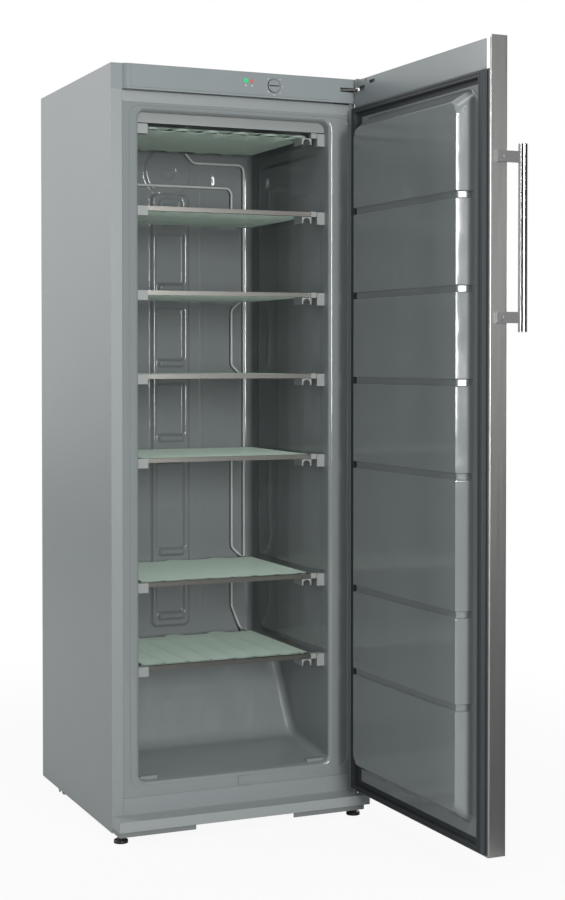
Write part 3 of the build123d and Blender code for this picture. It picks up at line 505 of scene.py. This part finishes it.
def split_edges(piece, name, degrees):
    """Keep the edges that turn by more than an angle crisp."""
    split = piece.modifiers.new(name, "EDGE_SPLIT")
    split.split_angle = math.radians(degrees)


def grid_faces(rows, columns, wrap=False):
    """Faces between neighbouring points of a grid, row by row."""
    faces = []
    last = columns if wrap else columns - 1
    for row in range(rows - 1):
        for column in range(last):
            a = row * columns + column
            b = row * columns + (column + 1) % columns
            faces.append((a, b, b + columns, a + columns))
    return faces


def field(u, v, centre, half, radius):
    """Distance outside a rounded rectangle, negative inside it."""
    over_u = np.abs(u - centre[0]) - half[0] + radius
    over_v = np.abs(v - centre[1]) - half[1] + radius
    outside = np.hypot(np.maximum(over_u, 0), np.maximum(over_v, 0))
    return outside + np.minimum(np.maximum(over_u, over_v), 0) - radius


def raised(distance, height, ramp):
    """A height that falls away softly over a ramp across an outline."""
    part = np.clip(0.5 - distance / ramp, 0, 1)
    return height * part * part * (3 - 2 * part)


def relief(u, v, blocks):
    """Height of a wall on which rounded blocks, given in millimetres, rise or are sunk."""
    height = np.zeros_like(u)
    for middle, half, corner, rise, ramp in blocks:
        distance = field(u, v, np.array(middle) * mm, np.array(half) * mm, corner * mm)
        height += raised(distance, rise * mm, ramp * mm)
    return height


def moulded_sheet(columns, rows, rise, to_point):
    """Points and faces of a sheet that stands proud of its plane by rise(u, v)."""
    u, v = np.meshgrid(columns, rows)
    height = rise(u, v)
    points = [to_point(a, b, h) for a, b, h in zip(u.ravel(), v.ravel(), height.ravel())]
    return points, grid_faces(len(rows), len(columns))


def steps(low, high, spacing):
    """Evenly spaced places from low to high."""
    return np.linspace(low, high, max(2, int(round((high - low) / spacing)) + 1))


# ---------------------------------------------------------------- moulded liner
def soft_min(a, b, reach):
    """The smaller of two heights, rounded where they cross."""
    part = max(reach - abs(a - b), 0.0) / reach
    return min(a, b) - part * part * reach * 0.25


def floor_height(y):
    """The cold space's floor, slanted rear wall and ledge, with rounded corners between."""
    slope = (floor_end_height - opening_bottom) / (floor_end - cabinet_front)
    floor = opening_bottom + slope * (y - cabinet_front)
    steep = (ledge_height - floor_end_height) / (ledge_front - floor_end)
    wall = floor_end_height + steep * (y - floor_end)
    lower = -soft_min(-floor, -wall, floor_bend)
    return soft_min(lower, ledge_height, ledge_bend)


def opening_ring(y, inset, radius, bottom, half=opening_half, top=opening_top, lean=1.0,
                 middle=0.0):
    """One turn round the cold space at a depth: a rounded rectangle, its lower corners
    drawn out upwards where the floor leans."""
    reach = half - inset - radius
    low = bottom + inset
    high = top - inset
    drop = radius * lean
    corners = [(reach, low + drop, drop, -90), (reach, high - radius, radius, 0),
               (-reach, high - radius, radius, 90), (-reach, low + drop, drop, 180)]
    ring = []
    for index, (x, z, rise, angle) in enumerate(corners):
        for turn in range(corner_turns + 1):
            a = math.radians(angle + 90 * turn / corner_turns)
            ring.append((middle + x + radius * math.cos(a), y, z + rise * math.sin(a)))
        next_x, next_z, next_rise, next_angle = corners[(index + 1) % 4]
        a = math.radians(next_angle)
        end_x, end_z = middle + next_x + radius * math.cos(a), next_z + next_rise * math.sin(a)
        begin_x, _, begin_z = ring[-1]
        count = ring_pieces[index % 2]
        for step in range(1, count):
            part = step / count
            ring.append((begin_x + (end_x - begin_x) * part, y,
                         begin_z + (end_z - begin_z) * part))
    return ring


def liner_shell():
    """The flange, the step round the mouth, the rounded mouth and the walls of the liner, up to
    the edge of its back wall."""
    rings = [opening_ring(cabinet_front, 0, flange_corner, liner_low[2],
                          (liner_high[0] - liner_low[0]) / 2, liner_high[2],
                          middle=(liner_high[0] + liner_low[0]) / 2)]
    for inset, share in rim_profile:
        rings.append(opening_ring(cabinet_front + share * rim_depth, inset * mm, rim_corner,
                                  rim_bottom, (rim_right - rim_left) / 2, rim_top,
                                  middle=(rim_right + rim_left) / 2))
    quarter = [math.radians(90 * turn / corner_turns) for turn in range(corner_turns + 1)]
    for a in quarter:
        inset = -mouth_radius * (1 - math.sin(a))
        y = cabinet_front + rim_depth + (mouth_radius - rim_depth) * (1 - math.cos(a))
        rings.append(opening_ring(y, inset, corner_radius - inset, opening_bottom))
    for y in steps(cabinet_front + mouth_radius + wall_spacing, back_wall - corner_radius,
                   wall_spacing):
        rise = (floor_height(y + mm) - floor_height(y - mm)) / (2 * mm)
        rings.append(opening_ring(y, 0, corner_radius, floor_height(y), lean=math.hypot(1, rise)))
    for a in quarter[1:]:
        y = back_wall - corner_radius * (1 - math.sin(a))
        inset = corner_radius * (1 - math.cos(a))
        rings.append(opening_ring(y, inset, max(corner_radius - inset, least_radius), ledge_height))
    points = [point for ring in rings for point in ring]
    return points, grid_faces(len(rings), len(rings[0]), wrap=True)


def back_wall_rise(x, z):
    """The column with its pockets and sills, the arch, the bare plate, the dome and two lines."""
    height = relief(x, z, back_wall_blocks)
    from_dome = np.hypot(x - dome_middle, z - dome_height)
    height += raised(from_dome - dome_radius, dome_rise, dome_ramp)
    half_round = np.maximum(from_dome - half_round_radius, z - dome_height - half_round_top)
    height -= raised(half_round, half_round_depth, half_round_ramp)
    for line_x in line_places:
        height += raised(np.abs(x - line_x) - line_half, line_rise, line_ramp)
    return height


def side_wall_rise(y, z):
    """Two long fields, one in the other, that fade out towards the mouth."""
    return relief(y, z, side_wall_blocks) * np.clip((y - fade_front) / fade_length, 0, 1)


def append_sheet(points, faces, sheet):
    """Add one sheet's points and faces to a growing mesh."""
    start = len(points)
    points.extend(sheet[0])
    faces.extend([tuple(index + start for index in face) for face in sheet[1]])


liner_points, liner_faces = liner_shell()
back_half = opening_half - corner_radius + back_wall_overlap
append_sheet(liner_points, liner_faces, moulded_sheet(
    steps(-back_half, back_half, back_wall_spacing),
    steps(ledge_height + corner_radius - back_wall_overlap,
          opening_top - corner_radius + back_wall_overlap, back_wall_spacing),
    back_wall_rise, lambda x, z, h: (x, back_wall - h, z)))
field_rows = steps(side_field_low, side_field_high, side_field_spacing)
field_columns = np.concatenate([steps(low * mm, high * mm, spacing * mm)[:-1]
                                for low, high, spacing in side_field_spans]
                               + [[side_field_spans[-1][1] * mm]])
for side in (-1, 1):
    append_sheet(liner_points, liner_faces, moulded_sheet(
        field_columns[::side], field_rows, side_wall_rise,
        lambda y, z, h: (side * (opening_half - side_field_proud - h), y, z)))
liner = new_piece("moulded_liner", liner_points, liner_faces, "grey_liner", "cabinet")
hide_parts("inner_liner")


def rounded_block(name, low, high, radius, slot, body):
    """A block with rounded edges, between two opposite corners."""
    x0, y0, z0 = low
    x1, y1, z1 = high
    points = [(x, y, z) for z in (z0, z1) for y in (y0, y1) for x in (x0, x1)]
    faces = [(0, 2, 3, 1), (4, 5, 7, 6), (0, 1, 5, 4), (2, 6, 7, 3), (0, 4, 6, 2), (1, 3, 7, 5)]
    piece = new_piece(name, points, faces, slot, body)
    bevel = piece.modifiers.new("rounded_edges", "BEVEL")
    bevel.width = radius
    bevel.segments = 4
    bevel.harden_normals = True


for side, name in ((-1, "left"), (1, "right")):
    low_x, high_x = sorted((side * rest_inner, side * rest_outer))
    rounded_block(f"floor_rest_{name}", (low_x, rest_front, opening_bottom),
                  (high_x, rest_back, rest_top), rest_edge, "grey_liner", "cabinet")


# ---------------------------------------------------------------- moulded door panel
def soft_ramp(part, softness):
    """A ramp from nought to one with rounded ends."""
    lower = np.where(part < softness, (part + softness) ** 2 / (4 * softness), part)
    lower = np.where(part < -softness, 0, lower)
    over = 1 - lower
    upper = np.where(over < softness, (over + softness) ** 2 / (4 * softness), over)
    upper = np.where(over < -softness, 0, upper)
    return 1 - upper


def plug_height(x, z, shrink):
    """Height of the plug with sloping sides and rounded corners, drawn in by an amount.

    The plug's outline narrows with height, so the height at a place is found by halving."""
    low, high = np.zeros_like(x), np.ones_like(x)
    middle = (0.0, (plug_low + plug_high) / 2)
    half_height = (plug_high - plug_low) / 2
    for _ in range(plug_halvings):
        part = (low + high) / 2
        over = field(x, z, middle, (plug_half - shrink - plug_slope * part,
                                    half_height - shrink - plug_end_slope * part), plug_corner)
        low, high = np.where(over < 0, part, low), np.where(over < 0, high, part)
    return (plug_rise - shrink) * soft_ramp(low, plug_softness)


def door_panel_rise(x, z):
    """The plug that reaches into the cold space, with a groove at each shelf's rail."""
    height = plug_height(x, z, 0.0)
    sunk = plug_height(x, z, groove_depth)
    for groove in groove_heights:
        share = raised(np.abs(z - groove * mm) - groove_half, 1.0, groove_ramp)
        height = height + (sunk - height) * share
    return height


def fine_steps(low, high, coarse, fine, spans):
    """Places from low to high, closer together within the given spans."""
    places = [low]
    while places[-1] < high - fine / 2:
        here = places[-1]
        near = any(begin <= here <= end for begin, end in spans)
        after = here + (fine if near else coarse)
        starts = [begin for begin, end in spans if here < begin < after]
        places.append(min([after, high] + starts))
    return np.array(places)


# The mesh is fine across the plug's sides, its ends and the grooves
side_spans = [(-243 * mm, -220 * mm), (212 * mm, 243 * mm)]
end_spans = [(100 * mm, 140 * mm), (1594 * mm, 1636 * mm)]
groove_spans = [((height - 13) * mm, (height + 12) * mm) for height in groove_heights]
panel_columns = fine_steps(-door_panel_half, door_panel_half, door_panel_coarse, door_panel_fine,
                           side_spans)
panel_rows = fine_steps(door_panel_low, door_panel_high, door_panel_coarse, door_panel_fine,
                        groove_spans + end_spans)
panel_points, panel_faces = moulded_sheet(
    panel_columns[::-1], panel_rows, door_panel_rise,
    lambda x, z, h: (x, door_inner + door_panel_proud + h, z))
door_panel = new_piece("moulded_door_panel", panel_points, panel_faces, "grey_liner", "door",
                       door_place)
split_edges(door_panel, "groove_edges", groove_split)
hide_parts("door_liner")


# ---------------------------------------------------------------- magnetic seal
def mitred_frame(name, profile, half, low, high, end_share, slot, body, place):
    """A profile carried round a rectangle with mitred corners, narrower along its ends."""
    points = []
    for inset, depth in profile:
        for x, z in ((-1, 0), (1, 0), (1, 1), (-1, 1)):
            along = end_share * inset
            points.append((x * (half - inset), depth, (high - along) if z else (low + along)))
    return new_piece(name, points, grid_faces(len(profile), 4, wrap=True), slot, body, place)


def rounded_profile(corners, smoothness, pieces=4, share=0.45):
    """A line through corners, each of them cut to a short curve that takes up no more than a
    share of the lengths beside it."""
    line = [corners[0]]
    for before, here, after in zip(corners, corners[1:], corners[2:]):
        before, here, after = Vector(before), Vector(here), Vector(after)
        reach = min(smoothness, (here - before).length * share, (after - here).length * share)
        begin = here + (before - here).normalized() * reach
        end = here + (after - here).normalized() * reach
        for step in range(pieces + 1):
            part = step / pieces
            line.append(tuple(begin.lerp(here, part).lerp(here.lerp(end, part), part)))
    line.append(corners[-1])
    return line


seal_profile = rounded_profile([(inset * mm, door_inner + depth * mm)
                                for inset, depth in seal_corners], seal_rounding)
seal = mitred_frame("magnetic_seal", seal_profile, door_half, seal_low, seal_high, seal_end_share,
                    "dark_gasket", "door", door_place)
split_edges(seal, "mitre_edges", seal_split)
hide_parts("door_gasket")


# ---------------------------------------------------------------- marks on the fascia
def disc(points, faces, x, z, radius):
    """A short round stud standing out of the fascia."""
    start = len(points)
    for y in (fascia_front - mark_sunk, fascia_front + mark_proud):
        for side in range(mark_sides):
            a = 2 * math.pi * side / mark_sides
            points.append((x + radius * math.cos(a), y, z + radius * math.sin(a)))
    faces.append(tuple(start + side for side in range(mark_sides)))
    for side in range(mark_sides):
        after = (side + 1) % mark_sides
        faces.append((start + side, start + after, start + mark_sides + after,
                      start + mark_sides + side))


mark_points, mark_faces = [], []
for angle in mark_angles:
    turn = math.radians(angle)
    disc(mark_points, mark_faces, knob_x + mark_ring * math.cos(turn),
         knob_z + mark_ring * math.sin(turn), mark_radius)
for low, high in lamp_boxes:
    disc(mark_points, mark_faces, (low[0] + high[0]) / 2,
         (low[2] + high[2]) / 2 - lamp_mark_drop, lamp_mark_radius)
marks = new_piece("dial_marks", mark_points, mark_faces, "white_plastic", "cabinet", smooth=False)
marks.data.materials[0] = white_mark.material


# ---------------------------------------------------------------- studio
def stage_mesh(name, points, faces, material):
    """A mesh that belongs to the studio and not to the freezer."""
    mesh = bpy.data.meshes.new(name)
    mesh.from_pydata(points, [], faces)
    mesh.materials.append(material)
    piece = bpy.data.objects.new(name, mesh)
    bpy.context.scene.collection.objects.link(piece)
    return piece


# Floor: grey to the light and in reflections, white to the camera and whiter further out
floor_reach = 14.0
floor_finish = Finish("studio_floor", (0.55, 0.55, 0.55), 0.8)
from_middle = floor_finish.vector_maths("LENGTH", floor_finish.place(), output="Value")
white_share = floor_finish.node("ShaderNodeMapRange", {"interpolation_type": "SMOOTHSTEP"},
                                {"Value": from_middle, "From Min": 0.7, "From Max": 2.2,
                                 "To Min": 0.93, "To Max": 1.0})
lit_floor = Link(floor_finish, floor_finish.shader.outputs[0])
white_floor = floor_finish.node("ShaderNodeEmission", {}, {"Color": white, "Strength": 1.0})
seen_floor = floor_finish.node("ShaderNodeMixShader", {},
                               {0: floor_finish.ray("Camera") * white_share,
                                1: lit_floor, 2: white_floor})
floor_finish.join(floor_finish.tree.nodes["Material Output"].inputs["Surface"], seen_floor)
stage_mesh("floor", [(-floor_reach, -floor_reach, 0), (floor_reach, -floor_reach, 0),
                     (floor_reach, floor_reach, 0), (-floor_reach, floor_reach, 0)],
           [(0, 1, 2, 3)], floor_finish.material)

# World: a plain grey light, white where the camera, a reflection or glass looks at it
world = bpy.data.worlds.new("studio")
bpy.context.scene.world = world
world.use_nodes = True
sky = Nodes(world.node_tree)
grey_light = sky.tree.nodes["Background"]
grey_light.inputs["Color"].default_value = (0.31, 0.32, 0.33, 1)
white_backdrop = sky.node("ShaderNodeBackground", {}, {"Color": white})
looked_at = sky.maths("MAXIMUM", sky.maths("MAXIMUM", sky.ray("Camera"), sky.ray("Glossy")),
                      sky.ray("Transmission"))
seen_sky = sky.node("ShaderNodeMixShader", {},
                    {0: looked_at, 1: Link(sky, grey_light.outputs[0]), 2: white_backdrop})
sky.join(sky.tree.nodes["World Output"].inputs["Surface"], seen_sky)


def area_light(name, place, target, width, height, watts):
    """A soft box of a given size, facing a target."""
    light = bpy.data.lights.new(name, "AREA")
    light.shape = "RECTANGLE"
    light.size = width
    light.size_y = height
    light.energy = watts
    lamp = bpy.data.objects.new(name, light)
    bpy.context.scene.collection.objects.link(lamp)
    lamp.location = place
    lamp.rotation_euler = (Vector(target) - Vector(place)).to_track_quat("-Z", "Y").to_euler()


# Place, target, width, height and watts of each soft box
area_light("side_soft_box", (-3.2, 2.7, 2.4), (-0.3, 0.0, 1.0), 1.2, 2.0, 84)
area_light("front_soft_box", (0.12, -5.2, 1.5), (0.0, 0.0, 1.0), 0.8, 1.6, 138)
area_light("top_soft_box", (-0.2, -2.6, 4.2), (0.0, 0.0, 0.6), 2.0, 1.6, 35)
area_light("left_strip", (-4.3, -2.15, 1.5), (-0.27, -0.29, 1.3), 0.14, 2.2, 16)

flag_finish = Finish("flag_cloth", (0.02, 0.02, 0.02), 1.0)


def dark_flag(name, corners):
    """A black card beside the set that only reflections see, as a studio uses for metal."""
    flag = stage_mesh(name, corners, [(0, 1, 2, 3)], flag_finish.material)
    flag.visible_camera = False
    flag.visible_diffuse = False
    flag.visible_shadow = False


def upright(begin, end, height):
    """Corners of a card that stands on the floor between two places."""
    return [(*begin, 0), (*end, 0), (*end, height), (*begin, height)]


dark_flag("front_flag", upright((-4.6, -6.6), (6.0, -6.6), 4.5))
dark_flag("right_flag", upright((4.2, -6.6), (4.2, -1.2), 4.0))
dark_flag("left_flag", upright((-4.6, -6.6), (-4.6, -1.8), 4.0))
dark_flag("floor_flag", [(0.42, -6.5, 0.01), (4.1, -6.5, 0.01), (4.1, -0.9, 0.01),
                         (0.42, -0.9, 0.01)])

# ---------------------------------------------------------------- camera
# Place, turn and lens as fitted to the edges of the cabinet and the door
camera_place = (-1.4465, -3.8373, 1.0747)
camera_yaw = math.radians(-23.729)
camera_pitch = math.radians(-1.198)
camera_data = bpy.data.cameras.new("camera")
camera_data.sensor_width = 36.0
camera_data.lens = 66.94
camera_data.shift_y = -0.0626
camera = bpy.data.objects.new("camera", camera_data)
bpy.context.scene.collection.objects.link(camera)
camera.location = camera_place
camera.rotation_euler = (math.radians(90) + camera_pitch, 0, camera_yaw)
bpy.context.scene.camera = camera
bpy.context.scene.view_settings.view_transform = "Standard"
